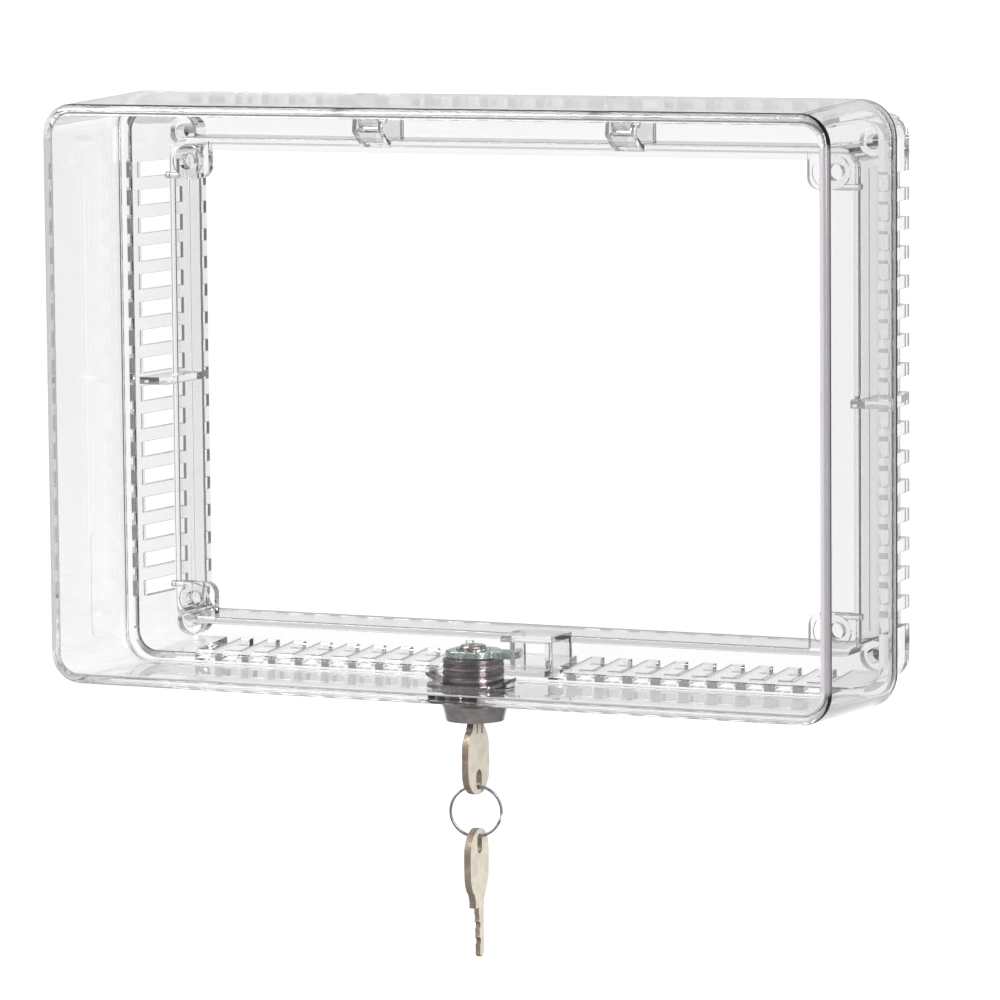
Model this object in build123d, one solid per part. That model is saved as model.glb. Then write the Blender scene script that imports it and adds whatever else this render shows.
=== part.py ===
from build123d import *
import os
from math import atan, degrees, radians, cos, sin

# Clear wall guard for a thermostat: a slotted mounting ring, a swing-up
# cover hung on two hooks, and a wafer cam lock with two keys on a split ring.
# Millimetres. Row frame: X right, +Y into the wall, +Z up.
# Origin: centre of the wall plane (y = 0); the cover's face is at y = -DEPTH.

# ---------------------------------------------------------------- dimensions
DEPTH = 76.0            # wall to the front face

# cover
COV_W, COV_H = 252.0, 175.8      # outside, at the rear rim
COV_RIM_Y = -26.0                # the rear rim
COV_DRAFT = 2.0                  # per side, rim to face
COV_R = 11.0                     # corner radius at the rim
COV_T = 2.4                      # wall
COV_EDGE = 2.2                   # rounding round the front face
PAD_X, PAD_Z, PAD_W, PAD_H, PAD_D = -92.9, -55.9, 33.4, 31.4, 0.18  # label field

# mounting ring
OW_X, OW_Z = 119.8, 82.7         # outer wall, outside, half sizes at the wall
OW_T = 2.6
OW_GROW = 1.7                    # each side, wall to y = OW_Y
OW_Y = -26.0
OW_R = 7.0
FL_X, FL_Z, FL_R = 123.1, 85.1, 8.4   # front flange, half sizes
FL_Y0, FL_Y1 = -28.0, -25.4
BACK_T = 3.0                     # back flange
IW_X, IW_ZB, IW_ZT, IW_T = 108.4, 72.0, 71.6, 2.1   # inner wall: opening half width, bottom, top
IW_Y, IW_R = -20.0, 4.0
SLOT_P_Z, SLOT_W_Z, SLOT_N_Z = 8.5, 4.8, 16    # side slots
SLOT_P_X, SLOT_W_X = 9.0, 5.0                  # top and bottom slots
SLOT_Y0, SLOT_YB = -22.6, -21.8               # front ends: sides and top, bottom
SLOT_Y1 = -3.0           # rear ends of the top and bottom slots
RND = 0.6                # rounding of the long edges
EAR_X, EAR_Z, EAR_HOLE = 103.3, 66.5, 2.5
EAR_RX, EAR_RZ, EAR_C = 6.7, 5.2, 3.6    # reach towards the middle, and corner
EAR_Y0, EAR_Y1 = -20.6, -17.6
BOSS_X, BOSS_Z, BOSS_R, BOSS_HOLE = 110.8, 74.8, 4.6, 2.25
BOSS_Y = -10.0

# hinge: two bars on the ring, two hooks on the cover
HINGE_Y, HINGE_Z = -23.0, 80.0
HINGE_X = 40.8
BAR_R = 1.5
HOOK_RI, HOOK_RO = 1.6, 3.5
HOOK_W = 6.0
POCKET_W = 6.8
CHEEK = 1.4
POCKET_BACK = -12.6

# catch on the ring
CAT_X0, CAT_XL, CAT_X1 = -12.0, 4.4, 21.1   # floor from CAT_X0, box from CAT_XL
CAT_Y0, CAT_YL = -34.2, -27.3               # front of the box, front of its left wall
CAT_TOP, CAT_SHELF = -70.8, 1.9
POST_X0, POST_X1, POST_Y0, POST_Y1 = -6.4, -4.3, -35.3, -33.9   # from the lock axis
POST_TOP = -72.7

# lock (axis along Z)
LK_X, LK_Y = 0.3, -44.0
PAD_OUT, PAD_IN = -87.7, -84.3   # lock seat on the cover, outer and inner face
BODY_R, BODY_FLAT = 9.1, 7.8
BODY_TOP = -75.9
FLG_R, FLG_RB = 9.85, 8.7
FLG_Z1, FLG_Z2 = -90.2, -94.8
BORE_R = 6.05
PLUG_R, PLUG_FACE = 6.0, -93.6
HEAD_R, HEAD_T = 6.8, 1.4
CAM_T = 2.0
CAM_TOP = BODY_TOP + 0.05 + CAM_T
SQ = 7.0
ARM_W, FIN_RI, FIN_RO, FIN_ANG = 6.6, 12.6, 14.6, 29.0
HUB_R = 8.2
WAF_Z = [-90.4, -88.0, -85.6, -83.2, -80.8]
WAF_T, WAF_X, WAF_Y = 1.2, 3.2, 4.9

# keys and ring
KEY_T, BLADE_T = 2.1, 1.5
BLADE_L, BOW_L = 15.2, 23.4
KEY_END = 1.5           # metal between the hole and the end of the bow
CUTS = [0.0, 0.8, 0.3, 1.1, 0.5]
RING_OD, RING_W, RING_T = 15.8, 0.8, 1.3
RING_TURN = 20.0
RING_Z = -122.1
SPARE_TURN = 3.5

os.makedirs("parts", exist_ok=True)


# ---------------------------------------------------------------- helpers
def plan(y):
    # sketch plane whose normal points away from the wall
    return Plane(origin=(0, y, 0), x_dir=(1, 0, 0), z_dir=(0, -1, 0))


def prism(hx, hz, r, y_back, y_front, grow=0.0):
    # rounded rectangle of half sizes hx, hz at y_back, run forward to y_front
    n = y_back - y_front
    sk = plan(y_back) * RectangleRounded(2 * hx, 2 * hz, r)
    return extrude(sk, amount=n, taper=-degrees(atan(grow / n)))


def block(x0, x1, y0, y1, z0, z1):
    return Pos((x0 + x1) / 2, (y0 + y1) / 2, (z0 + z1) / 2) * Box(abs(x1 - x0), abs(y1 - y0), abs(z1 - z0))


def rod_y(x, z, r, y0, y1):
    return Pos(x, (y0 + y1) / 2, z) * Rot(90, 0, 0) * Cylinder(r, abs(y1 - y0))


def rod_z(x, y, r, z0, z1):
    return Pos(x, y, (z0 + z1) / 2) * Cylinder(r, abs(z1 - z0))


def rod_x(y, z, r, x0, x1):
    return Pos((x0 + x1) / 2, y, z) * Rot(0, 90, 0) * Cylinder(r, abs(x1 - x0))


def yz_prism(pts, x0, x1):
    # polygon of (y, z) points run along X
    pl = Plane(origin=(x0, 0, 0), x_dir=(0, 1, 0), z_dir=(1, 0, 0))
    return extrude(pl * make_face(Polyline(*pts, close=True)), amount=x1 - x0)


# ---------------------------------------------------------------- cover
def make_cover():
    n = COV_RIM_Y + DEPTH
    out = prism(COV_W / 2, COV_H / 2, COV_R, COV_RIM_Y, -DEPTH, -COV_DRAFT)
    face = out.faces().sort_by(Axis.Y)[0]
    out = fillet(face.edges(), COV_EDGE)
    d_in = COV_DRAFT * (n - COV_T + 4) / n
    cav = prism(COV_W / 2 - COV_T + COV_DRAFT * 4 / n, COV_H / 2 - COV_T + COV_DRAFT * 4 / n,
                COV_R - COV_T + COV_DRAFT * 4 / n, COV_RIM_Y + 4, -DEPTH + COV_T, -d_in)
    face = cav.faces().sort_by(Axis.Y)[0]
    cav = fillet(face.edges(), 1.0)
    cov = out - cav
    # rounded rear rim
    cov = fillet(cov.faces().sort_by(Axis.Y)[-1].edges(), RND)
    # lock seat: flat both sides
    seat = rod_z(LK_X, LK_Y, 12.4, PAD_OUT, PAD_IN)
    cov = cov + seat
    cov = cov - Pos(LK_X, 0, 0) * dd_hole(BODY_R + 0.1, BODY_FLAT + 0.1, PAD_OUT - 1, PAD_IN + 1)
    # two hooks under the top wall
    for s in (-1, 1):
        cov = cov + make_hook(s * HINGE_X)
    # shallow label field on the face
    fld = plan(-DEPTH + PAD_D) * Pos(PAD_X, PAD_Z) * RectangleRounded(PAD_W, PAD_H, 2.4)
    cov = cov - extrude(fld, amount=2)
    return cov


def make_hook(xc):
    x0, x1 = xc - HOOK_W / 2, xc + HOOK_W / 2
    full = rod_x(HINGE_Y, HINGE_Z, HOOK_RO, x0, x1)
    # mouth of the hook: from 250 to 380 degrees, measured from +Y to +Z
    a0, a1, L = radians(250), radians(380), 9.0
    am = (a0 + a1) / 2
    mouth = yz_prism([(HINGE_Y, HINGE_Z),
                      (HINGE_Y + L * cos(a0), HINGE_Z + L * sin(a0)),
                      (HINGE_Y + 2 * L * cos(am), HINGE_Z + 2 * L * sin(am)),
                      (HINGE_Y + L * cos(a1), HINGE_Z + L * sin(a1))], x0 - 1, x1 + 1)
    arm = yz_prism([(HINGE_Y - 0.6, HINGE_Z + 3.1), (HINGE_Y - 3.2, HINGE_Z + 6.6),
                    (HINGE_Y - 10.5, HINGE_Z + 6.4), (HINGE_Y - 8.6, HINGE_Z + 4.4),
                    (HINGE_Y - 3.3, HINGE_Z + 0.9), (HINGE_Y - 2.2, HINGE_Z + 2.2)], x0, x1)
    return full + arm - mouth - rod_x(HINGE_Y, HINGE_Z, HOOK_RI, x0 - 1, x1 + 1)


def dd_hole(r, flat, z0, z1):
    return rod_z(0, LK_Y, r, z0, z1) & block(-flat, flat, LK_Y - 20, LK_Y + 20, z0, z1)


# ---------------------------------------------------------------- mounting ring
def make_ring():
    gi = OW_GROW
    outer = prism(OW_X, OW_Z, OW_R, 0, OW_Y, OW_GROW)
    fl = prism(FL_X, FL_Z, FL_R, FL_Y1, FL_Y0)
    k = OW_GROW / -OW_Y
    gx = -BACK_T * -k
    hollow = prism(OW_X - OW_T + BACK_T * k, OW_Z - OW_T + BACK_T * k, OW_R - OW_T + BACK_T * k,
                   -BACK_T, -30.0, k * (30.0 - BACK_T))
    body = outer + fl - hollow
    body = fillet(body.faces().sort_by(Axis.Y)[0].edges(), RND)
    up = Pos(0, 0, (IW_ZT - IW_ZB) / 2)
    hz = (IW_ZT + IW_ZB) / 2
    wall = up * (prism(IW_X + IW_T, hz + IW_T, IW_R + IW_T, 0, IW_Y) - prism(IW_X, hz, IW_R, 1, IW_Y - 1))
    wall = fillet(wall.faces().sort_by(Axis.Y)[0].edges(), RND)
    body = body + wall
    # ribs half way up, between the two walls
    for s in (-1, 1):
        body = body + block(s * (IW_X + 1), s * (OW_X - 1), -25.0, 0, -1.1, 1.1)
        body = body + block(s * (IW_X + 0.2), s * (IW_X + IW_T + 1.6), -22.4, -19.5, -1.1, 1.1)
    # bosses for the wall screws
    for sx in (-1, 1):
        for sz in (-1, 1):
            boss = rod_y(sx * BOSS_X, sz * BOSS_Z, BOSS_R, BOSS_Y, 0)
            body = body + fillet(boss.faces().sort_by(Axis.Y)[0].edges(), 0.5)
    body = body - up * prism(IW_X, hz, IW_R, 1, IW_Y - 12)
    # the rear half of the side walls stands in a little
    for s in (-1, 1):
        body = body + block(s * (IW_X - 0.3), s * (IW_X + 1), -10.5, 0, -IW_ZB + 4.5, IW_ZT - 4.5)
    # ears in the corners of the opening
    for sx in (-1, 1):
        for sz in (-1, 1):
            iz = IW_ZT if sz > 0 else IW_ZB
            ear = block(sx * (EAR_X - EAR_RX), sx * (IW_X + 1.0), EAR_Y0, EAR_Y1, sz * (EAR_Z - EAR_RZ), sz * (iz + 1.0))
            free = ear.edges().filter_by(Axis.Y).sort_by(lambda e: abs(e.center().X) + abs(e.center().Z))[0]
            body = body + fillet(free, EAR_C)
            # raised rim
            body = body + rod_y(sx * EAR_X, sz * EAR_Z, 4.8, EAR_Y0 - 1.3, EAR_Y0 + 0.2)
            # short bar from the ear out over the inner wall's edge
            body = body + rod_x(IW_Y - 0.1, sz * (EAR_Z - EAR_RZ + 0.9), 1.0, min(sx * 103, sx * 111.2), max(sx * 103, sx * 111.2))
            # webs that carry the wall past the corner
            body = body + block(sx * (IW_X - 0.5), sx * 112.2, IW_Y - 0.8, -14.0, sz * (iz + 0.2), sz * (iz + 1.7))
    # lip along the top edge of the opening
    body = body + block(-97, 97, IW_Y, IW_Y + 2.0, 70.0, IW_ZT + 0.4)
    # ventilation slots, sides
    for i in range(SLOT_N_Z):
        z = (i - (SLOT_N_Z - 1) / 2) * SLOT_P_Z
        for s in (-1, 1):
            body = body - block(s * (OW_X - OW_T - 0.2), s * 126, SLOT_Y0, 1, z - SLOT_W_Z / 2, z + SLOT_W_Z / 2)
    # top and bottom
    for i in range(-11, 12):
        x = i * SLOT_P_X
        if abs(i) not in (4, 5):
            body = body - block(x - SLOT_W_X / 2, x + SLOT_W_X / 2, SLOT_Y0, SLOT_Y1, OW_Z - OW_T - 0.2, 90)
        if abs(i) >= 2:
            body = body - block(x - SLOT_W_X / 2, x + SLOT_W_X / 2, SLOT_YB, SLOT_Y1, -(OW_Z - OW_T - 0.2), -90)
    # hinge pockets
    for s in (-1, 1):
        xc = s * HINGE_X
        w = POCKET_W / 2
        for c in (-1, 1):
            xi, xo = xc + c * w, xc + c * (w + CHEEK)
            body = body + yz_prism([(-26.8, 76.4), (-20.2, 71.5), (POCKET_BACK + 1.5, 71.5), (POCKET_BACK + 1.5, 82.6),
                                    (-25.6, 83.2)], min(xi, xo), max(xi, xo))
        body = body + block(xc - w - CHEEK, xc + w + CHEEK, POCKET_BACK, POCKET_BACK + 1.5, 73.2, 82.6)
        body = body - block(xc - w, xc + w, -31, POCKET_BACK, 74.6, 90)
        # sloping floor under the bar
        body = body + yz_prism([(-26.8, 76.4), (-20.2, 71.5), (POCKET_BACK + 1.5, 71.5), (POCKET_BACK + 1.5, 72.9),
                                (-19.7, 72.9), (-25.9, 77.4)], xc - w - 0.1, xc + w + 0.1)
        body = body + rod_x(HINGE_Y, HINGE_Z, BAR_R, xc - w - 0.7, xc + w + 0.7)
    # catch: a floor, a box open to the front, and a post for the cam's hook
    top, sh = CAT_TOP, CAT_SHELF
    cat = block(CAT_XL, CAT_X1, CAT_Y0, IW_Y + 0.5, top - sh, top)
    cat = cat + block(CAT_X0, CAT_X1, CAT_Y0, -24.0, -82.6, -80.8)
    cat = cat + block(CAT_XL, CAT_XL + 1.8, CAT_YL, IW_Y + 0.5, -82.2, top)
    cat = cat + block(CAT_X1 - 2.4, CAT_X1, CAT_Y0, IW_Y + 0.5, -82.2, top)
    cat = fillet(cat.edges().filter_by(Axis.Z).group_by(Axis.Y)[0], 0.5)
    px0, px1 = LK_X + POST_X0, LK_X + POST_X1
    cat = cat + block(CAT_X0, px1, POST_Y0, CAT_Y0 + 1, -82.6, -80.8)
    cat = cat + block(px0, px1, POST_Y0, POST_Y1, -81.5, POST_TOP)
    cat = cat + block(CAT_X0, px0, POST_Y0, POST_Y1, -81.5, -76.6)
    body = body + cat
    # holes
    for sx in (-1, 1):
        for sz in (-1, 1):
            body = body - rod_y(sx * EAR_X, sz * EAR_Z, EAR_HOLE, -24, -14)
            body = body - rod_y(sx * BOSS_X, sz * BOSS_Z, BOSS_HOLE, -14, 2)
            body = body - rod_y(sx * BOSS_X, sz * BOSS_Z, 4.3, -27, BOSS_Y)
    return body


# ---------------------------------------------------------------- lock
def make_housing():
    b = dd_hole(BODY_R, BODY_FLAT, PAD_OUT, BODY_TOP)
    b = chamfer(b.edges().group_by(Axis.Z)[-1], 0.4)
    b = b + rod_z(0, LK_Y, FLG_R, FLG_Z1, PAD_OUT)
    h = FLG_Z1 - FLG_Z2
    cone = Pos(0, LK_Y, (FLG_Z1 + FLG_Z2) / 2) * Cone(FLG_RB, FLG_R - 0.05, h)
    b = b + cone
    b = b - rod_z(0, LK_Y, BORE_R, -96, -70)
    b = b - rod_z(0, LK_Y, HEAD_R + 0.06, -96, PLUG_FACE + HEAD_T + 0.05)
    # wafer channels, four ways
    z0, z1 = WAF_Z[0] - 0.8, WAF_Z[-1] + 0.8
    b = b - block(-5.85, 5.85, LK_Y - 3.35, LK_Y + 3.35, z0, z1)
    b = b - block(-3.35, 3.35, LK_Y - 5.85, LK_Y + 5.85, z0, z1)
    # clip grooves in the flats
    for s in (-1, 1):
        b = b - block(s * 6.9, s * 9, LK_Y - 10, LK_Y + 10, PAD_IN - 0.02, PAD_IN + 1.12)
    # rings cast round the body
    for z in (-81.4, -79.4, -77.6):
        b = b - (rod_z(0, LK_Y, 12, z - 0.25, z + 0.25) - rod_z(0, LK_Y, BODY_R - 0.3, z - 0.3, z + 0.3))
    return b


def make_clip():
    z0, z1 = PAD_IN + 0.02, PAD_IN + 1.02
    c = block(-10.6, 10.6, LK_Y - 11.6, LK_Y + 8.0, z0, z1)
    c = fillet(c.edges().filter_by(Axis.Z), 2.5)
    c = c + block(-14.4, -9, LK_Y - 2.6, LK_Y + 2.6, z0, z1)
    c = c + block(9, 12.9, LK_Y - 1.8, LK_Y + 1.8, z0, z1)
    # turned-up ends
    c = c + block(-14.4, -13.5, LK_Y - 2.6, LK_Y + 2.6, z0, z1 + 2.2)
    c = c - block(-15, -12.4, LK_Y - 0.5, LK_Y + 0.5, z0 - 1, z1 + 3)
    gap = block(-6.95, 6.95, LK_Y - 9.25, LK_Y + 12, z0 - 1, z1 + 1)
    return c - gap


def make_plug():
    p = rod_z(0, LK_Y, PLUG_R, PLUG_FACE, BODY_TOP + 0.02)
    p = p + rod_z(0, LK_Y, HEAD_R, PLUG_FACE, PLUG_FACE + HEAD_T)
    sq = rod_z(0, LK_Y, PLUG_R - 0.6, BODY_TOP, CAM_TOP - 0.1) & block(-SQ / 2, SQ / 2, LK_Y - SQ / 2, LK_Y + SQ / 2, BODY_TOP, CAM_TOP)
    p = p + sq
    # keyway
    p = p - block(-BLADE_T / 2 - 0.08, BLADE_T / 2 + 0.08, LK_Y - 3.75, LK_Y + 3.75, PLUG_FACE - 1, PLUG_FACE + BLADE_L + 0.25)
    # wafer slots, with a pocket for each spring
    for z in WAF_Z:
        p = p - block(-WAF_X - 0.06, WAF_X + 0.06, LK_Y - 8, LK_Y + 8, z - WAF_T / 2 - 0.06, z + WAF_T / 2 + 0.06)
        p = p - block(3.0, 4.66, LK_Y - 2.9, LK_Y + 2.2, z - WAF_T / 2 - 0.06, z + WAF_T / 2 + 0.06)
    # screw hole
    p = p - rod_z(0, LK_Y, 1.62, -77.7, -70)
    return p


def make_wafer(i):
    z = WAF_Z[i]
    w = block(-WAF_X, WAF_X, LK_Y - WAF_Y, LK_Y + WAF_Y, z - WAF_T / 2, z + WAF_T / 2)
    w = fillet(w.edges().filter_by(Axis.Z), 0.4)
    w = w + block(WAF_X - 0.2, 4.5, LK_Y + 0.2, LK_Y + 1.2, z - WAF_T / 2, z + WAF_T / 2)
    w = w - block(-BLADE_T / 2 - 0.2, BLADE_T / 2 + 0.2, LK_Y + CUTS[i] - 1.0, LK_Y + 3.72, z - 2, z + 2)
    return w


def make_spring(i):
    # close coil of fine wire, drawn as its sleeve
    z = WAF_Z[i]
    y0, y1 = LK_Y - 2.85, LK_Y + 0.15
    s = Pos(3.9, (y0 + y1) / 2, z) * Rot(90, 0, 0) * Cylinder(0.5, y1 - y0)
    s = s - Pos(3.9, (y0 + y1) / 2, z) * Rot(90, 0, 0) * Cylinder(0.32, y1 - y0 + 1)
    return s


def make_cam():
    z0, z1 = BODY_TOP + 0.05, CAM_TOP
    hub = rod_z(0, LK_Y, HUB_R, z0, z1) & block(-7.2, 20, LK_Y - 7.2, LK_Y + 7.2, z0, z1)
    arm = block(0, FIN_RO + 2, LK_Y - ARM_W / 2, LK_Y + ARM_W / 2, z0, z1) & rod_z(0, LK_Y, FIN_RO, z0, z1)
    band = rod_z(0, LK_Y, FIN_RO, z0, z1) - rod_z(0, LK_Y, FIN_RI, z0 - 1, z1 + 1)
    pl = Plane(origin=(0, LK_Y, z0), x_dir=(1, 0, 0), z_dir=(0, 0, 1))
    L = 30.0
    wedge = extrude(pl * make_face(Polyline((0, 0), (L, 0), (L * cos(radians(FIN_ANG)), L * sin(radians(FIN_ANG))), close=True)), amount=z1 - z0)
    fin = band & wedge
    cam = hub + arm + fin
    cam = cam - block(-SQ / 2 - 0.05, SQ / 2 + 0.05, LK_Y - SQ / 2 - 0.05, LK_Y + SQ / 2 + 0.05, z0 - 1, z1 + 1)
    return cam


def make_washer():
    z0 = CAM_TOP + 0.01
    w = rod_z(0, LK_Y, 5.0, z0, z0 + 0.4)
    for k in range(12):
        a = radians(30 * k)
        w = w - rod_z(5.0 * cos(a), LK_Y + 5.0 * sin(a), 0.55, z0 - 1, z0 + 2)
    return w - rod_z(0, LK_Y, 2.1, z0 - 1, z0 + 2)


def make_screw():
    z0 = CAM_TOP + 0.42
    s = rod_z(0, LK_Y, 3.9, z0, z0 + 1.0)
    s = fillet(s.edges().group_by(Axis.Z)[-1], 0.6)
    s = s + rod_z(0, LK_Y, 1.6, -77.6, z0 + 0.1)
    # cross recess
    s = s - block(-2.1, 2.1, LK_Y - 0.4, LK_Y + 0.4, z0 + 0.3, z0 + 3)
    s = s - block(-0.4, 0.4, LK_Y - 2.1, LK_Y + 2.1, z0 + 0.3, z0 + 3)
    return s


# ---------------------------------------------------------------- keys
def key_solid():
    # local frame: blade along +Z from the shoulder at z = 0, bow along -Z,
    # width along Y, thickness along X
    pl = Plane(origin=(-KEY_T / 2, 0, 0), x_dir=(0, 1, 0), z_dir=(1, 0, 0))
    right = [(3.5, -2.0), (5.2, -4.8), (6.8, -7.2), (7.35, -10.2), (7.45, -14.0), (7.35, -17.3), (6.7, -19.6),
             (4.6, -21.9), (0.0, -BOW_L)]
    left = [(-a, b) for a, b in reversed(right)]
    outline = Line((-3.5, 0), (3.5, 0)) + Line((3.5, 0), (3.5, -2.0)) \
        + Spline(*right, tangents=((0.35, -1.0), (-1.0, 0.0))) \
        + Spline(*left, tangents=((-1.0, 0.0), (0.35, 1.0))) + Line((-3.5, -2.0), (-3.5, 0))
    bow = extrude(pl * make_face(outline), amount=KEY_T)
    # hole for the ring
    hole = pl * Pos(0, -BOW_L + KEY_END + 2.95) * SlotOverall(5.9, 3.8, rotation=90)
    bow = bow - extrude(hole, amount=KEY_T)
    # blade: straight back, five cuts in the front edge
    back = 3.6
    pts = [(back, -0.5), (back, BLADE_L - 1.2), (back - 1.0, BLADE_L), (CUTS[4] + 1.0, BLADE_L), (CUTS[4] - 0.2, BLADE_L - 1.0)]
    prof = []
    for i in (4, 3, 2, 1, 0):
        zc = WAF_Z[i] - PLUG_FACE
        prof += [(CUTS[i], zc + 0.55), (CUTS[i], zc - 0.55)]
        if i:
            prof.append((min(CUTS[i], CUTS[i - 1]) - 0.25, zc - 1.2))
    prof += [(CUTS[0] - 0.4, 1.9), (CUTS[0] - 0.4, -0.5)]
    bl = Plane(origin=(-BLADE_T / 2, 0, 0), x_dir=(0, 1, 0), z_dir=(1, 0, 0))
    blade = extrude(bl * make_face(Polyline(*(pts + prof), close=True)), amount=BLADE_T)
    k = bow + blade
    # milled groove along one side of the blade, run out on the neck, and a short one beside it
    k = k - block(BLADE_T / 2 - 0.35, KEY_T, 2.0, 2.8, -5.6, BLADE_L + 1)
    k = k - block(KEY_T / 2 - 0.4, KEY_T, -1.3, -0.6, -5.2, 0.1)
    return k


def make_ring_wire():
    # split ring: two turns of flat wire side by side, joined where one passes to the other
    ro = RING_OD / 2
    ri = ro - RING_W
    pl = Plane(origin=(0, 0, -RING_T / 2), x_dir=(1, 0, 0), z_dir=(0, 0, 1))
    t = RING_T / 2
    g = 0.06
    lo = Pos(0, 0, -t / 2 - g / 2) * (Cylinder(ro, t - g) - Cylinder(ri, t + 1))
    hi = Pos(0, 0, t / 2 + g / 2) * (Cylinder(ro, t - g) - Cylinder(ri, t + 1))
    # free end of each turn
    lo = lo - Rot(0, 0, 22) * block(0, 12, -0.25, 0.25, -t - 1, 0)
    hi = hi - Rot(0, 0, -12) * block(0, 12, -0.25, 0.25, 0, t + 1)
    link = (Cylinder(ro, 2 * g + 0.02) - Cylinder(ri, 1)) & (Rot(0, 0, 5) * block(2, 12, -1.1, 1.1, -1, 1))
    return lo + hi + link


# ---------------------------------------------------------------- assembly
parts = {}
parts["cover"] = make_cover()
parts["base_ring"] = make_ring()
at = Pos(LK_X, 0, 0)
parts["lock_housing"] = at * make_housing()
parts["lock_clip"] = at * make_clip()
parts["lock_plug"] = at * make_plug()
for i in range(5):
    parts["wafer_%d" % (i + 1)] = at * make_wafer(i)
    parts["wafer_spring_%d" % (i + 1)] = at * make_spring(i)
parts["cam"] = at * make_cam()
parts["cam_washer"] = at * make_washer()
parts["cam_screw"] = at * make_screw()

key = key_solid()
parts["key"] = Pos(LK_X, LK_Y, PLUG_FACE) * key

# the ring hangs in the key's hole; its plane is turned about Z
ring = make_ring_wire()
parts["split_ring"] = Pos(LK_X, LK_Y, RING_Z) * Rot(0, 0, RING_TURN) * Rot(90, 0, 0) * ring

# the spare key hangs bow up on the ring
top = RING_Z - RING_OD / 2 + RING_W / 2 + 0.9 + KEY_END
parts["spare_key"] = Pos(LK_X, LK_Y, top - BOW_L) * Rot(0, 0, SPARE_TURN) * Rot(180, 0, 0) * (Rot(0, 0, 180) * key)

for name, shape in parts.items():
    s = shape
    if not isinstance(s, Compound) and hasattr(s, "solids") and len(s.solids()) == 1:
        s = s.solids()[0]
    export_step(s, "parts/%s.step" % name)
    print("%-16s solids %d volume %.1f" % (name, len(shape.solids()), shape.volume))
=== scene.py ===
import bpy, bmesh, math
from mathutils import Vector, Matrix


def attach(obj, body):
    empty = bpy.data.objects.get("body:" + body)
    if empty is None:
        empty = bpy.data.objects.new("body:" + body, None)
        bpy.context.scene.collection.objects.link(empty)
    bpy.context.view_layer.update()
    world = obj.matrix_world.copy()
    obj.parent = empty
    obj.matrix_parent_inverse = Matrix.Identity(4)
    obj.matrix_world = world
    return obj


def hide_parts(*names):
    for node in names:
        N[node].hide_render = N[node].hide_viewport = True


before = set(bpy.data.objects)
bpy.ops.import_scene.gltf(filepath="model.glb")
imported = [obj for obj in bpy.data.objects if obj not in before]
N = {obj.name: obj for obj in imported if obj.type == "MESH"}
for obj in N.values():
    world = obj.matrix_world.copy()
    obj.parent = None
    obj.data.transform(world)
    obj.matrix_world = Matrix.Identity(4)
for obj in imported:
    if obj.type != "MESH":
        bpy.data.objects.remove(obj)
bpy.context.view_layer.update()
sc = bpy.context.scene
MM = 0.001

# ------------------------------------------------------------------ camera
AZ, EL, ROLL = math.radians(24.348), math.radians(6.494), math.radians(-0.494)
TARGET = Vector((23.375, -76.0, -25.549)) * MM
DIST = 1687.8 * MM
bk = Vector((math.sin(AZ) * math.cos(EL), -math.cos(AZ) * math.cos(EL), math.sin(EL)))
fwd = -bk
right = fwd.cross(Vector((0, 0, 1))).normalized()
up = right.cross(fwd)
R = math.cos(ROLL) * right + math.sin(ROLL) * up
U = -math.sin(ROLL) * right + math.cos(ROLL) * up
cam_data = bpy.data.cameras.new("cam_view")
cam = bpy.data.objects.new("cam_view", cam_data)
sc.collection.objects.link(cam)
m = Matrix.Identity(4)
for i in range(3):
    m[i][0], m[i][1], m[i][2] = R[i], U[i], bk[i]
    m[i][3] = (TARGET + bk * DIST)[i]
cam.matrix_world = m
cam_data.sensor_width = 36.0
cam_data.lens = 36.0 * 5900 / 1000
cam_data.clip_start, cam_data.clip_end = 0.05, 60
cam_data.dof.use_dof = False
sc.camera = cam


# ------------------------------------------------------------------ materials
def new_mat(name):
    mat = bpy.data.materials.new(name)
    mat.use_nodes = True
    nt = mat.node_tree
    nt.nodes.clear()
    out = nt.nodes.new("ShaderNodeOutputMaterial")
    bs = nt.nodes.new("ShaderNodeBsdfPrincipled")
    nt.links.new(bs.outputs[0], out.inputs["Surface"])
    return mat, nt, bs, out


def node(nt, kind, **kw):
    n = nt.nodes.new(kind)
    for k, v in kw.items():
        if k in n.inputs:
            n.inputs[k].default_value = v
        else:
            setattr(n, k, v)
    return n


def noise(nt, co, scale, detail=3.0, rough=0.5, distortion=0.0):
    n = node(nt, "ShaderNodeTexNoise")
    n.inputs["Scale"].default_value = scale
    n.inputs["Detail"].default_value = detail
    n.inputs["Roughness"].default_value = rough
    n.inputs["Distortion"].default_value = distortion
    nt.links.new(co, n.inputs["Vector"])
    return n


def ramp(nt, src, stops):
    n = node(nt, "ShaderNodeValToRGB")
    el = n.color_ramp.elements
    while len(el) < len(stops):
        el.new(0.5)
    for e, (p, c) in zip(el, stops):
        e.position = p
        e.color = c if len(c) == 4 else (*c, 1)
    nt.links.new(src, n.inputs["Fac"])
    return n


def remap(nt, src, a, b, lo=0.0, hi=1.0):
    n = node(nt, "ShaderNodeMapRange")
    n.inputs["From Min"].default_value = lo
    n.inputs["From Max"].default_value = hi
    n.inputs["To Min"].default_value = a
    n.inputs["To Max"].default_value = b
    nt.links.new(src, n.inputs["Value"])
    return n


def bump(nt, src, strength, dist, normal=None):
    n = node(nt, "ShaderNodeBump")
    n.inputs["Strength"].default_value = strength
    n.inputs["Distance"].default_value = dist
    nt.links.new(src, n.inputs["Height"])
    if normal is not None:
        nt.links.new(normal, n.inputs["Normal"])
    return n


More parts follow.
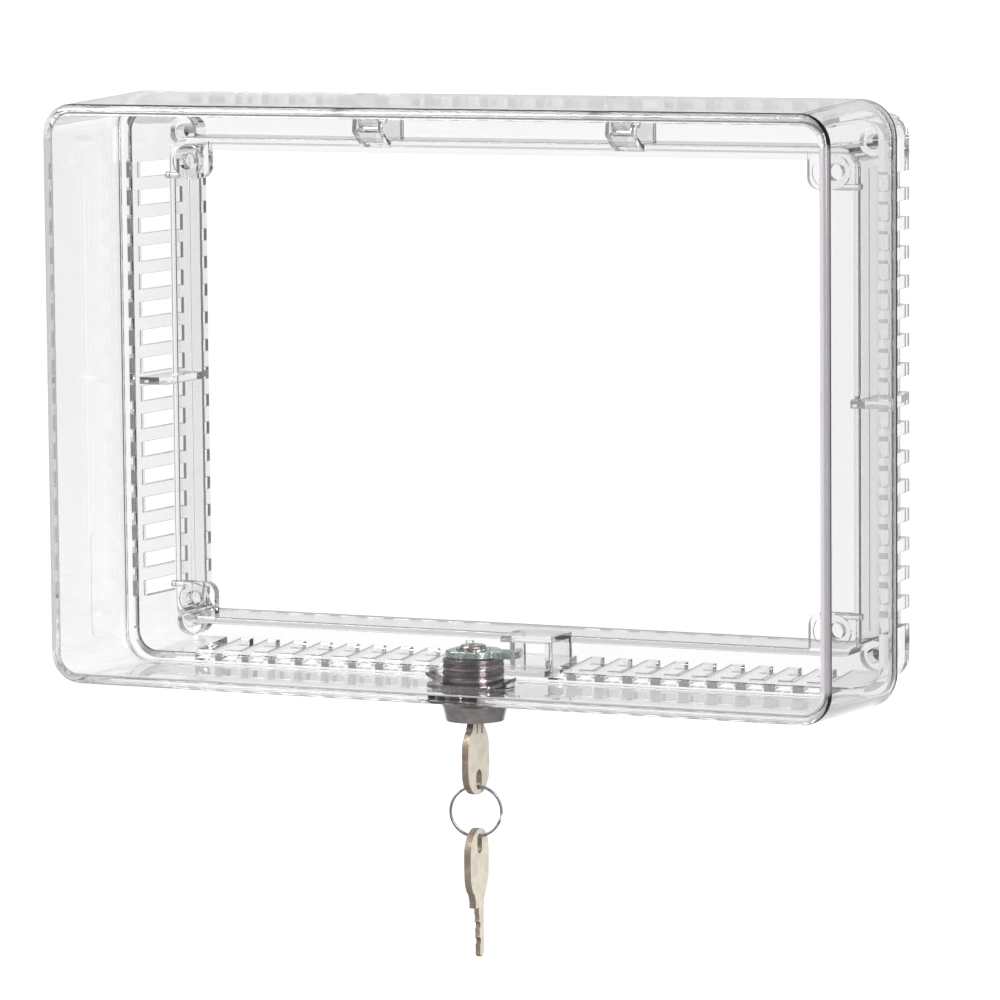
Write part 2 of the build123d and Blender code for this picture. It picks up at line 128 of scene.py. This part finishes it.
def clear_plastic(name, tint, dens, absorb, rough, painted_edge_band=None):
    mat, nt, bs, out = new_mat(name)
    co = node(nt, "ShaderNodeTexCoord").outputs["Object"]
    bs.inputs["Transmission Weight"].default_value = 1.0
    bs.inputs["IOR"].default_value = 1.58
    # faint handling marks: the surface is a touch softer in cloudy patches
    n1 = noise(nt, co, 38.0, 4.0, 0.6)
    r = remap(nt, n1.outputs["Fac"], rough * 0.4, rough * 1.8, 0.35, 0.7)
    r_out = r.outputs[0]
    if painted_edge_band:
        # painted reflection: a frosted grey band on the front side edges, standing in for the grey the
        # rounded edges show; x beyond entry 0 either way, y in front of entry 1, z within entry 4
        sep = node(nt, "ShaderNodeSeparateXYZ")
        nt.links.new(co, sep.inputs[0])
        ax = node(nt, "ShaderNodeMath", operation="ABSOLUTE")
        nt.links.new(sep.outputs["X"], ax.inputs[0])
        mxr = remap(nt, ax.outputs[0], 0, 1, painted_edge_band[0], painted_edge_band[0] + 0.0006)
        myr = remap(nt, sep.outputs["Y"], 1, 0, painted_edge_band[1] - 0.0006, painted_edge_band[1])
        both = node(nt, "ShaderNodeMath", operation="MULTIPLY")
        az = node(nt, "ShaderNodeMath", operation="ABSOLUTE")
        nt.links.new(sep.outputs["Z"], az.inputs[0])
        mzr = remap(nt, az.outputs[0], 1, 0, painted_edge_band[4] - 0.002, painted_edge_band[4])
        two = node(nt, "ShaderNodeMath", operation="MULTIPLY")
        nt.links.new(mxr.outputs[0], two.inputs[0])
        nt.links.new(mzr.outputs[0], two.inputs[1])
        nt.links.new(two.outputs[0], both.inputs[0])
        nt.links.new(myr.outputs[0], both.inputs[1])
        wr = node(nt, "ShaderNodeMath", operation="MULTIPLY_ADD")
        nt.links.new(both.outputs[0], wr.inputs[0])
        wr.inputs[1].default_value = painted_edge_band[2]
        nt.links.new(r_out, wr.inputs[2])
        r_out = wr.outputs[0]
        tw = remap(nt, both.outputs[0], 1.0, painted_edge_band[3])
        nt.links.new(tw.outputs[0], bs.inputs["Transmission Weight"])
    nt.links.new(r_out, bs.inputs["Roughness"])
    # moulding ripple
    n2 = noise(nt, co, 22.0, 1.5, 0.4)
    b = bump(nt, n2.outputs["Fac"], 0.008, 0.0004)
    nt.links.new(b.outputs[0], bs.inputs["Normal"])
    c = ramp(nt, n1.outputs["Fac"], [(0.3, tint[0]), (0.75, tint[1])])
    c_out = c.outputs[0]
    if painted_edge_band:
        # painted reflection: grey mixed into the colour on the front side edges
        mc = node(nt, "ShaderNodeMix", data_type="RGBA")
        nt.links.new(both.outputs[0], mc.inputs["Factor"])
        nt.links.new(c_out, mc.inputs[6])
        mc.inputs[7].default_value = (0.66, 0.62, 0.67, 1)
        c_out = mc.outputs[2]
    nt.links.new(c_out, bs.inputs["Base Color"])
    va = node(nt, "ShaderNodeVolumeAbsorption")
    va.inputs["Color"].default_value = (*absorb, 1)
    va.inputs["Density"].default_value = dens
    nt.links.new(va.outputs[0], out.inputs["Volume"])
    # lamps reach what is behind the wall
    lp = node(nt, "ShaderNodeLightPath")
    tr = node(nt, "ShaderNodeBsdfTransparent")
    tr.inputs["Color"].default_value = (0.93, 0.94, 0.94, 1)
    mx = node(nt, "ShaderNodeMixShader")
    nt.links.new(lp.outputs["Is Shadow Ray"], mx.inputs[0])
    nt.links.new(bs.outputs[0], mx.inputs[1])
    nt.links.new(tr.outputs[0], mx.inputs[2])
    nt.links.new(mx.outputs[0], out.inputs["Surface"])
    return mat


def metal(name, dark, light, r0, r1, scale=120.0, bump_d=0.00003, edge=None):
    mat, nt, bs, out = new_mat(name)
    co = node(nt, "ShaderNodeTexCoord").outputs["Object"]
    bs.inputs["Metallic"].default_value = 1.0
    n1 = noise(nt, co, scale, 5.0, 0.6, 0.3)
    c = ramp(nt, n1.outputs["Fac"], [(0.32, dark), (0.68, light)])
    nt.links.new(c.outputs[0], bs.inputs["Base Color"])
    n2 = noise(nt, co, scale * 5, 3.0, 0.6)
    r = remap(nt, n2.outputs["Fac"], r0, r1, 0.3, 0.7)
    nt.links.new(r.outputs[0], bs.inputs["Roughness"])
    b = bump(nt, n2.outputs["Fac"], 0.5, bump_d)
    nt.links.new(b.outputs[0], bs.inputs["Normal"])
    return mat


# the cover's last tuple places a painted grey band on its front side edges
M_cover = clear_plastic("clear_cover", ((0.985, 0.985, 0.985), (1, 1, 1)), 5.0, (0.60, 0.61, 0.57), 0.003, (0.1213, -0.0743, 0.12, 0.45, 0.0775))
M_ring = clear_plastic("clear_ring", ((0.98, 0.98, 0.98), (1, 1, 1)), 6.0, (0.60, 0.595, 0.59), 0.005)


def two_zone(name, chan, lo, hi, a, b, flecks=False, matt=0.0):
    """Metal with finish a below lo and finish b above hi on one channel of the
    object coordinate or normal; a and b are (dark, light, rough min, rough max).
    By the normal, finish a goes on the edges, and its darker colour there is partly painted shade."""
    mat, nt, bs, out = new_mat(name)
    tc = node(nt, "ShaderNodeTexCoord")
    co = tc.outputs["Object"]
    bs.inputs["Metallic"].default_value = 1.0
    sep = node(nt, "ShaderNodeSeparateXYZ")
    nt.links.new(tc.outputs["Object" if chan == "z" else "Normal"], sep.inputs[0])
    if chan == "z":
        src = sep.outputs["Z"]
    else:
        ab = node(nt, "ShaderNodeMath", operation="ABSOLUTE")
        nt.links.new(sep.outputs["X"], ab.inputs[0])
        src = ab.outputs[0]
    mask = remap(nt, src, 0, 1, lo, hi)
    if matt:
        ml = remap(nt, mask.outputs[0], 1.0 - 0.5 * matt, 1.0 - matt)
        nt.links.new(ml.outputs[0], bs.inputs["Metallic"])
    n1 = noise(nt, co, 260.0, 5.0, 0.6, 0.3)
    n2 = noise(nt, co, 900.0, 3.0, 0.6)
    if flecks:
        # turned rings round the barrel, and small bright scratches
        st = node(nt, "ShaderNodeVectorMath", operation="MULTIPLY")
        st.inputs[1].default_value = (18, 18, 820)
        nt.links.new(co, st.inputs[0])
        rings = noise(nt, st.outputs[0], 1.0, 2.0, 0.5)
        mixf = node(nt, "ShaderNodeMath", operation="MULTIPLY_ADD")
        nt.links.new(rings.outputs["Fac"], mixf.inputs[0])
        mixf.inputs[1].default_value = 0.75
        sc_ = node(nt, "ShaderNodeMath", operation="MULTIPLY")
        nt.links.new(n1.outputs["Fac"], sc_.inputs[0])
        sc_.inputs[1].default_value = 0.25
        nt.links.new(sc_.outputs[0], mixf.inputs[2])
        tone = mixf.outputs[0]
    else:
        tone = n1.outputs["Fac"]
    ca = ramp(nt, n1.outputs["Fac"], [(0.32, a[0]), (0.68, a[1])])
    cb = ramp(nt, tone, [(0.40, b[0]), (0.58, b[1])] + ([(0.63, (0.62, 0.58, 0.55))] if flecks else []))
    mixc = node(nt, "ShaderNodeMix", data_type="RGBA")
    nt.links.new(mask.outputs[0], mixc.inputs["Factor"])
    nt.links.new(ca.outputs[0], mixc.inputs[6])
    nt.links.new(cb.outputs[0], mixc.inputs[7])
    nt.links.new(mixc.outputs[2], bs.inputs["Base Color"])
    ra = remap(nt, n2.outputs["Fac"], a[2], a[3], 0.3, 0.7)
    rb = remap(nt, n2.outputs["Fac"], b[2], b[3], 0.3, 0.7)
    mixr = node(nt, "ShaderNodeMix", data_type="FLOAT")
    nt.links.new(mask.outputs[0], mixr.inputs["Factor"])
    nt.links.new(ra.outputs[0], mixr.inputs[2])
    nt.links.new(rb.outputs[0], mixr.inputs[3])
    nt.links.new(mixr.outputs[0], bs.inputs["Roughness"])
    bp = bump(nt, n2.outputs["Fac"], 0.4, 0.00002)
    nt.links.new(bp.outputs[0], bs.inputs["Normal"])
    return mat


# polished flange below the cover, dark barrel above it
M_body = two_zone("lock_body", "z", -0.0880, -0.0876,
                  ((0.27, 0.25, 0.25), (0.42, 0.395, 0.385), 0.06, 0.12),
                  ((0.05, 0.036, 0.046), (0.31, 0.262, 0.268), 0.12, 0.26), flecks=True)
# keys: pale nickel on the faces; the edges darker bronze, partly brass showing through and partly
# painted shade
M_key = two_zone("nickel_key", "n", 0.5, 0.85,
                 ((0.24, 0.185, 0.14), (0.44, 0.355, 0.28), 0.4, 0.56),
                 ((0.84, 0.77, 0.62), (0.97, 0.91, 0.77), 0.28, 0.45), matt=0.85)
M_plug = metal("lock_plug", (0.42, 0.41, 0.40), (0.52, 0.51, 0.5), 0.1, 0.2, 260.0)
M_zinc = metal("zinc_plate", (0.26, 0.32, 0.31), (0.60, 0.67, 0.65), 0.16, 0.34, 330.0)
M_screw = metal("zinc_plate_bright", (0.10, 0.08, 0.075), (0.80, 0.76, 0.72), 0.08, 0.24, 700.0, 0.00012)
M_steel = metal("spring_steel", (0.17, 0.15, 0.16), (0.34, 0.31, 0.31), 0.16, 0.3, 260.0)
M_brass = metal("brass", (0.62, 0.47, 0.24), (0.75, 0.6, 0.34), 0.25, 0.4, 260.0)
M_wire = metal("ring_wire", (0.36, 0.33, 0.36), (0.56, 0.53, 0.56), 0.24, 0.4, 420.0)


def paint(name, mat):
    o = N[name]
    o.data.materials.clear()
    o.data.materials.append(mat)


paint("cover", M_cover)
paint("base_ring", M_ring)
paint("lock_housing", M_body)
paint("lock_clip", M_steel)
paint("lock_plug", M_plug)
paint("cam", M_zinc)
paint("cam_washer", M_screw)
paint("cam_screw", M_screw)
paint("key", M_key)
paint("spare_key", M_key)
paint("split_ring", M_wire)
for i in range(1, 6):
    paint("wafer_%d" % i, M_brass)
    paint("wafer_spring_%d" % i, M_steel)



# ------------------------------------------------------------------ shapes
def soften(name, width, seg=3):
    """Broken edges on a stamped, cast or turned piece."""
    o = N[name]
    wd = o.modifiers.new("weld", "WELD")
    wd.merge_threshold = 1e-6
    bv = o.modifiers.new("edges", "BEVEL")
    bv.width = width * MM
    bv.segments = seg
    bv.limit_method = "ANGLE"
    bv.angle_limit = math.radians(33)
    bv.use_clamp_overlap = True
    wn = o.modifiers.new("shade", "WEIGHTED_NORMAL")
    wn.keep_sharp = False
    wn.weight = 80


for nm, wdt in (("key", 0.28), ("spare_key", 0.28), ("lock_housing", 0.14), ("lock_plug", 0.12),
                ("cam", 0.2), ("cam_washer", 0.08), ("cam_screw", 0.1)):
    soften(nm, wdt)


def link_piece(name, bm, mat, body, node_name):
    me = bpy.data.meshes.new(name)
    bm.to_mesh(me)
    bm.free()
    o = bpy.data.objects.new(name, me)
    sc.collection.objects.link(o)
    me.materials.append(mat)
    for f in me.polygons:
        f.use_smooth = True
    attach(o, body)
    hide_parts(node_name)
    return o


# split ring: one wire, two turns, passing from one layer to the other at the right
RC = Vector((0.3, -44.0, -122.1))
rt = math.radians(20.0)
RX = Vector((math.cos(rt), math.sin(rt), 0))
RA = Vector((math.sin(rt), -math.cos(rt), 0))
RM, RW, RL = 7.5, 0.8, 0.62        # mean radius, width across, thickness of one turn
sec = []
cr = 0.2
for (cx, cy, a0) in ((1, 1, 0), (-1, 1, 90), (-1, -1, 180), (1, -1, 270)):
    for k in range(4):
        aa = math.radians(a0 + 30 * k)
        sec.append((cx * (RW / 2 - cr) + cr * math.cos(aa), cy * (RL / 2 - cr) + cr * math.sin(aa)))
bm = bmesh.new()
A0, A1, STEP = -4.0, 696.0, 2.5
rings = []
n = int(round((A1 - A0) / STEP))
for i in range(n + 1):
    d = A0 + (A1 - A0) * i / n
    t = min(max((d - (A0 + A1) / 2 + 11) / 22.0, 0), 1)
    t = t * t * (3 - 2 * t)
    h = 0.335 * (1 - 2 * t)
    th = math.radians(d)
    er = RX * math.cos(th) + Vector((0, 0, 1)) * math.sin(th)
    loop = []
    for u, v in sec:
        loop.append(bm.verts.new((RC + er * (RM + u) + RA * (h + v)) * MM))
    rings.append(loop)
m_ = len(sec)
for i in range(n):
    for k in range(m_):
        bm.faces.new((rings[i][k], rings[i][(k + 1) % m_], rings[i + 1][(k + 1) % m_], rings[i + 1][k]))
bm.faces.new(rings[0])
bm.faces.new(list(reversed(rings[-1])))
bmesh.ops.recalc_face_normals(bm, faces=bm.faces)
link_piece("split_ring_wire", bm, M_wire, "ring", "split_ring")

# lock clip: the same spring plate, its arms bowed up off the cover
bm = bmesh.new()
bm.from_mesh(N["lock_clip"].data)
bmesh.ops.remove_doubles(bm, verts=bm.verts, dist=1e-6)
for k in range(1, 28):
    for s_ in (-1, 1):
        xx = (8.2 + 0.25 * k) * s_ + 0.3
        bmesh.ops.bisect_plane(bm, geom=bm.verts[:] + bm.edges[:] + bm.faces[:], plane_co=(xx * MM, 0, 0), plane_no=(1, 0, 0))
for v in bm.verts:
    d = abs(v.co.x / MM - 0.3) - 8.2
    if d > 0:
        top = -81.2 * MM
        v.co.z = min(v.co.z + 1.5 * MM * (d / 4.7) ** 2, max(top, v.co.z))
bmesh.ops.recalc_face_normals(bm, faces=bm.faces)
co_ = link_piece("lock_clip_spring", bm, M_steel, "cover", "lock_clip")
bv = co_.modifiers.new("edges", "BEVEL")
bv.width = 0.12 * MM
bv.segments = 2
bv.limit_method = "ANGLE"
bv.angle_limit = math.radians(33)
wn = co_.modifiers.new("shade", "WEIGHTED_NORMAL")
wn.keep_sharp = False
wn.weight = 80

# ------------------------------------------------------------------ stage
FLOOR_Z = -0.42
# painted glow levels of the floor: behind the object, to its left and to its right
FLOOR_BACK, FLOOR_LEFT, FLOOR_RIGHT = 1.02, 0.28, 0.02
SKY_BACK, SKY_SIDE = 0.75, 0.36


def stage_plane(name, size, loc, mat):
    me = bpy.data.meshes.new(name)
    bm = bmesh.new()
    bmesh.ops.create_grid(bm, x_segments=8, y_segments=8, size=size)
    bm.to_mesh(me)
    bm.free()
    o = bpy.data.objects.new(name, me)
    sc.collection.objects.link(o)
    o.location = loc
    o.data.materials.append(mat)
    return o


# the floor glows by painted emission, brightest behind the object and falling off to the sides and the
# front
fm, nt, bs, out = new_mat("floor_pale")
geo = node(nt, "ShaderNodeNewGeometry")
n1 = noise(nt, geo.outputs["Position"], 3.0, 4.0)
c = ramp(nt, n1.outputs["Fac"], [(0.3, (0.34, 0.34, 0.34)), (0.7, (0.36, 0.36, 0.36))])
nt.links.new(c.outputs[0], bs.inputs["Base Color"])
bs.inputs["Roughness"].default_value = 0.95
bs.inputs["Specular IOR Level"].default_value = 0.0
flat = node(nt, "ShaderNodeVectorMath", operation="MULTIPLY")
flat.inputs[1].default_value = (1, 1, 0)
nt.links.new(geo.outputs["Position"], flat.inputs[0])
unit = node(nt, "ShaderNodeVectorMath", operation="NORMALIZE")
nt.links.new(flat.outputs[0], unit.inputs[0])
dot = node(nt, "ShaderNodeVectorMath", operation="DOT_PRODUCT")
back = Vector((fwd.x, fwd.y, 0)).normalized()
dot.inputs[1].default_value = tuple(back)
nt.links.new(unit.outputs[0], dot.inputs[0])
# right under the object it is even
length = node(nt, "ShaderNodeVectorMath", operation="LENGTH")
nt.links.new(flat.outputs[0], length.inputs[0])
far = remap(nt, length.outputs["Value"], 0.0, 1.0, 0.45, 1.3)
far.interpolation_type = "SMOOTHSTEP"
# and painted shade darkens its colour and glow in front, under the photographer
tone = remap(nt, dot.outputs["Value"], 0.5, 1.0, -0.8, -0.35)
tone.interpolation_type = "SMOOTHSTEP"
even = node(nt, "ShaderNodeMix", data_type="FLOAT")
nt.links.new(far.outputs[0], even.inputs["Factor"])
even.inputs[2].default_value = 0.8
nt.links.new(tone.outputs[0], even.inputs[3])
shade = node(nt, "ShaderNodeVectorMath", operation="SCALE")
nt.links.new(c.outputs[0], shade.inputs[0])
nt.links.new(even.outputs[0], shade.inputs["Scale"])
nt.links.new(shade.outputs[0], bs.inputs["Base Color"])
side = node(nt, "ShaderNodeVectorMath", operation="DOT_PRODUCT")
side.inputs[1].default_value = (R.x, R.y, 0)
nt.links.new(unit.outputs[0], side.inputs[0])
low = remap(nt, side.outputs["Value"], FLOOR_LEFT, FLOOR_RIGHT, -0.9, 0.9)
lvl = remap(nt, dot.outputs["Value"], FLOOR_LEFT, FLOOR_BACK, 0.58, 0.90)
lvl.interpolation_type = "SMOOTHSTEP"
nt.links.new(low.outputs[0], lvl.inputs["To Min"])
bs.inputs["Emission Color"].default_value = (1, 1, 1, 1)
glow = node(nt, "ShaderNodeMath", operation="MULTIPLY")
nt.links.new(lvl.outputs[0], glow.inputs[0])
nt.links.new(tone.outputs[0], glow.inputs[1])
near = node(nt, "ShaderNodeMix", data_type="FLOAT")
nt.links.new(far.outputs[0], near.inputs["Factor"])
near.inputs[2].default_value = 0.3
nt.links.new(glow.outputs[0], near.inputs[3])
nt.links.new(near.outputs[0], bs.inputs["Emission Strength"])
# seen from below it isn't there
tr = node(nt, "ShaderNodeBsdfTransparent")
mx = node(nt, "ShaderNodeMixShader")
nt.links.new(geo.outputs["Backfacing"], mx.inputs[0])
nt.links.new(bs.outputs[0], mx.inputs[1])
nt.links.new(tr.outputs[0], mx.inputs[2])
nt.links.new(mx.outputs[0], out.inputs["Surface"])
stage_plane("floor", 60.0, (0, 0, FLOOR_Z), fm)

# world: an even grey studio, dimmer overhead and behind the photographer
w = bpy.data.worlds.new("studio")
sc.world = w
w.use_nodes = True
nt = w.node_tree
nt.nodes.clear()
out = nt.nodes.new("ShaderNodeOutputWorld")
bg = nt.nodes.new("ShaderNodeBackground")
nt.links.new(bg.outputs[0], out.inputs[0])
tc = nt.nodes.new("ShaderNodeTexCoord")
sep = nt.nodes.new("ShaderNodeSeparateXYZ")
nt.links.new(tc.outputs["Generated"], sep.inputs[0])
md = nt.nodes.new("ShaderNodeVectorMath")
md.operation = "DOT_PRODUCT"
md.inputs[1].default_value = tuple(back)
nt.links.new(tc.outputs["Generated"], md.inputs[0])
f = remap(nt, md.outputs["Value"], SKY_SIDE, SKY_BACK, 0.55, 0.95)
f.interpolation_type = "SMOOTHSTEP"
dim = ramp(nt, sep.outputs["Z"], [(0.0, (1, 1, 1)), (0.45, (1, 1, 1)), (0.75, (0.6, 0.6, 0.6)), (1.0, (0.45, 0.45, 0.45))])
mul = nt.nodes.new("ShaderNodeVectorMath")
mul.operation = "SCALE"
nt.links.new(dim.outputs[0], mul.inputs[0])
nt.links.new(f.outputs[0], mul.inputs["Scale"])
nt.links.new(mul.outputs[0], bg.inputs["Color"])
bg.inputs["Strength"].default_value = 1.0


def area(name, loc, aim, size, power, color=(1, 1, 1)):
    ld = bpy.data.lights.new(name, "AREA")
    ld.shape = "RECTANGLE"
    ld.size, ld.size_y = size
    ld.energy = power
    ld.color = color
    o = bpy.data.objects.new(name, ld)
    sc.collection.objects.link(o)
    o.location = loc
    o.rotation_mode = "QUATERNION"
    o.rotation_quaternion = (Vector(aim) - Vector(loc)).to_track_quat("-Z", "Y")
    return o


area("key_soft", (-1.6, -1.9, 1.7), (0, 0, 0), (1.2, 1.2), 55)
area("fill_soft", (2.0, -1.2, 0.6), (0, 0, 0), (0.8, 1.4), 42)

sc.view_settings.view_transform = "Standard"
sc.view_settings.look = "None"
sc.cycles.max_bounces = 40
sc.cycles.transmission_bounces = 36
sc.cycles.glossy_bounces = 12
sc.cycles.transparent_max_bounces = 40
sc.cycles.caustics_refractive = False
sc.cycles.caustics_reflective = False
sc.cycles.use_denoising = True
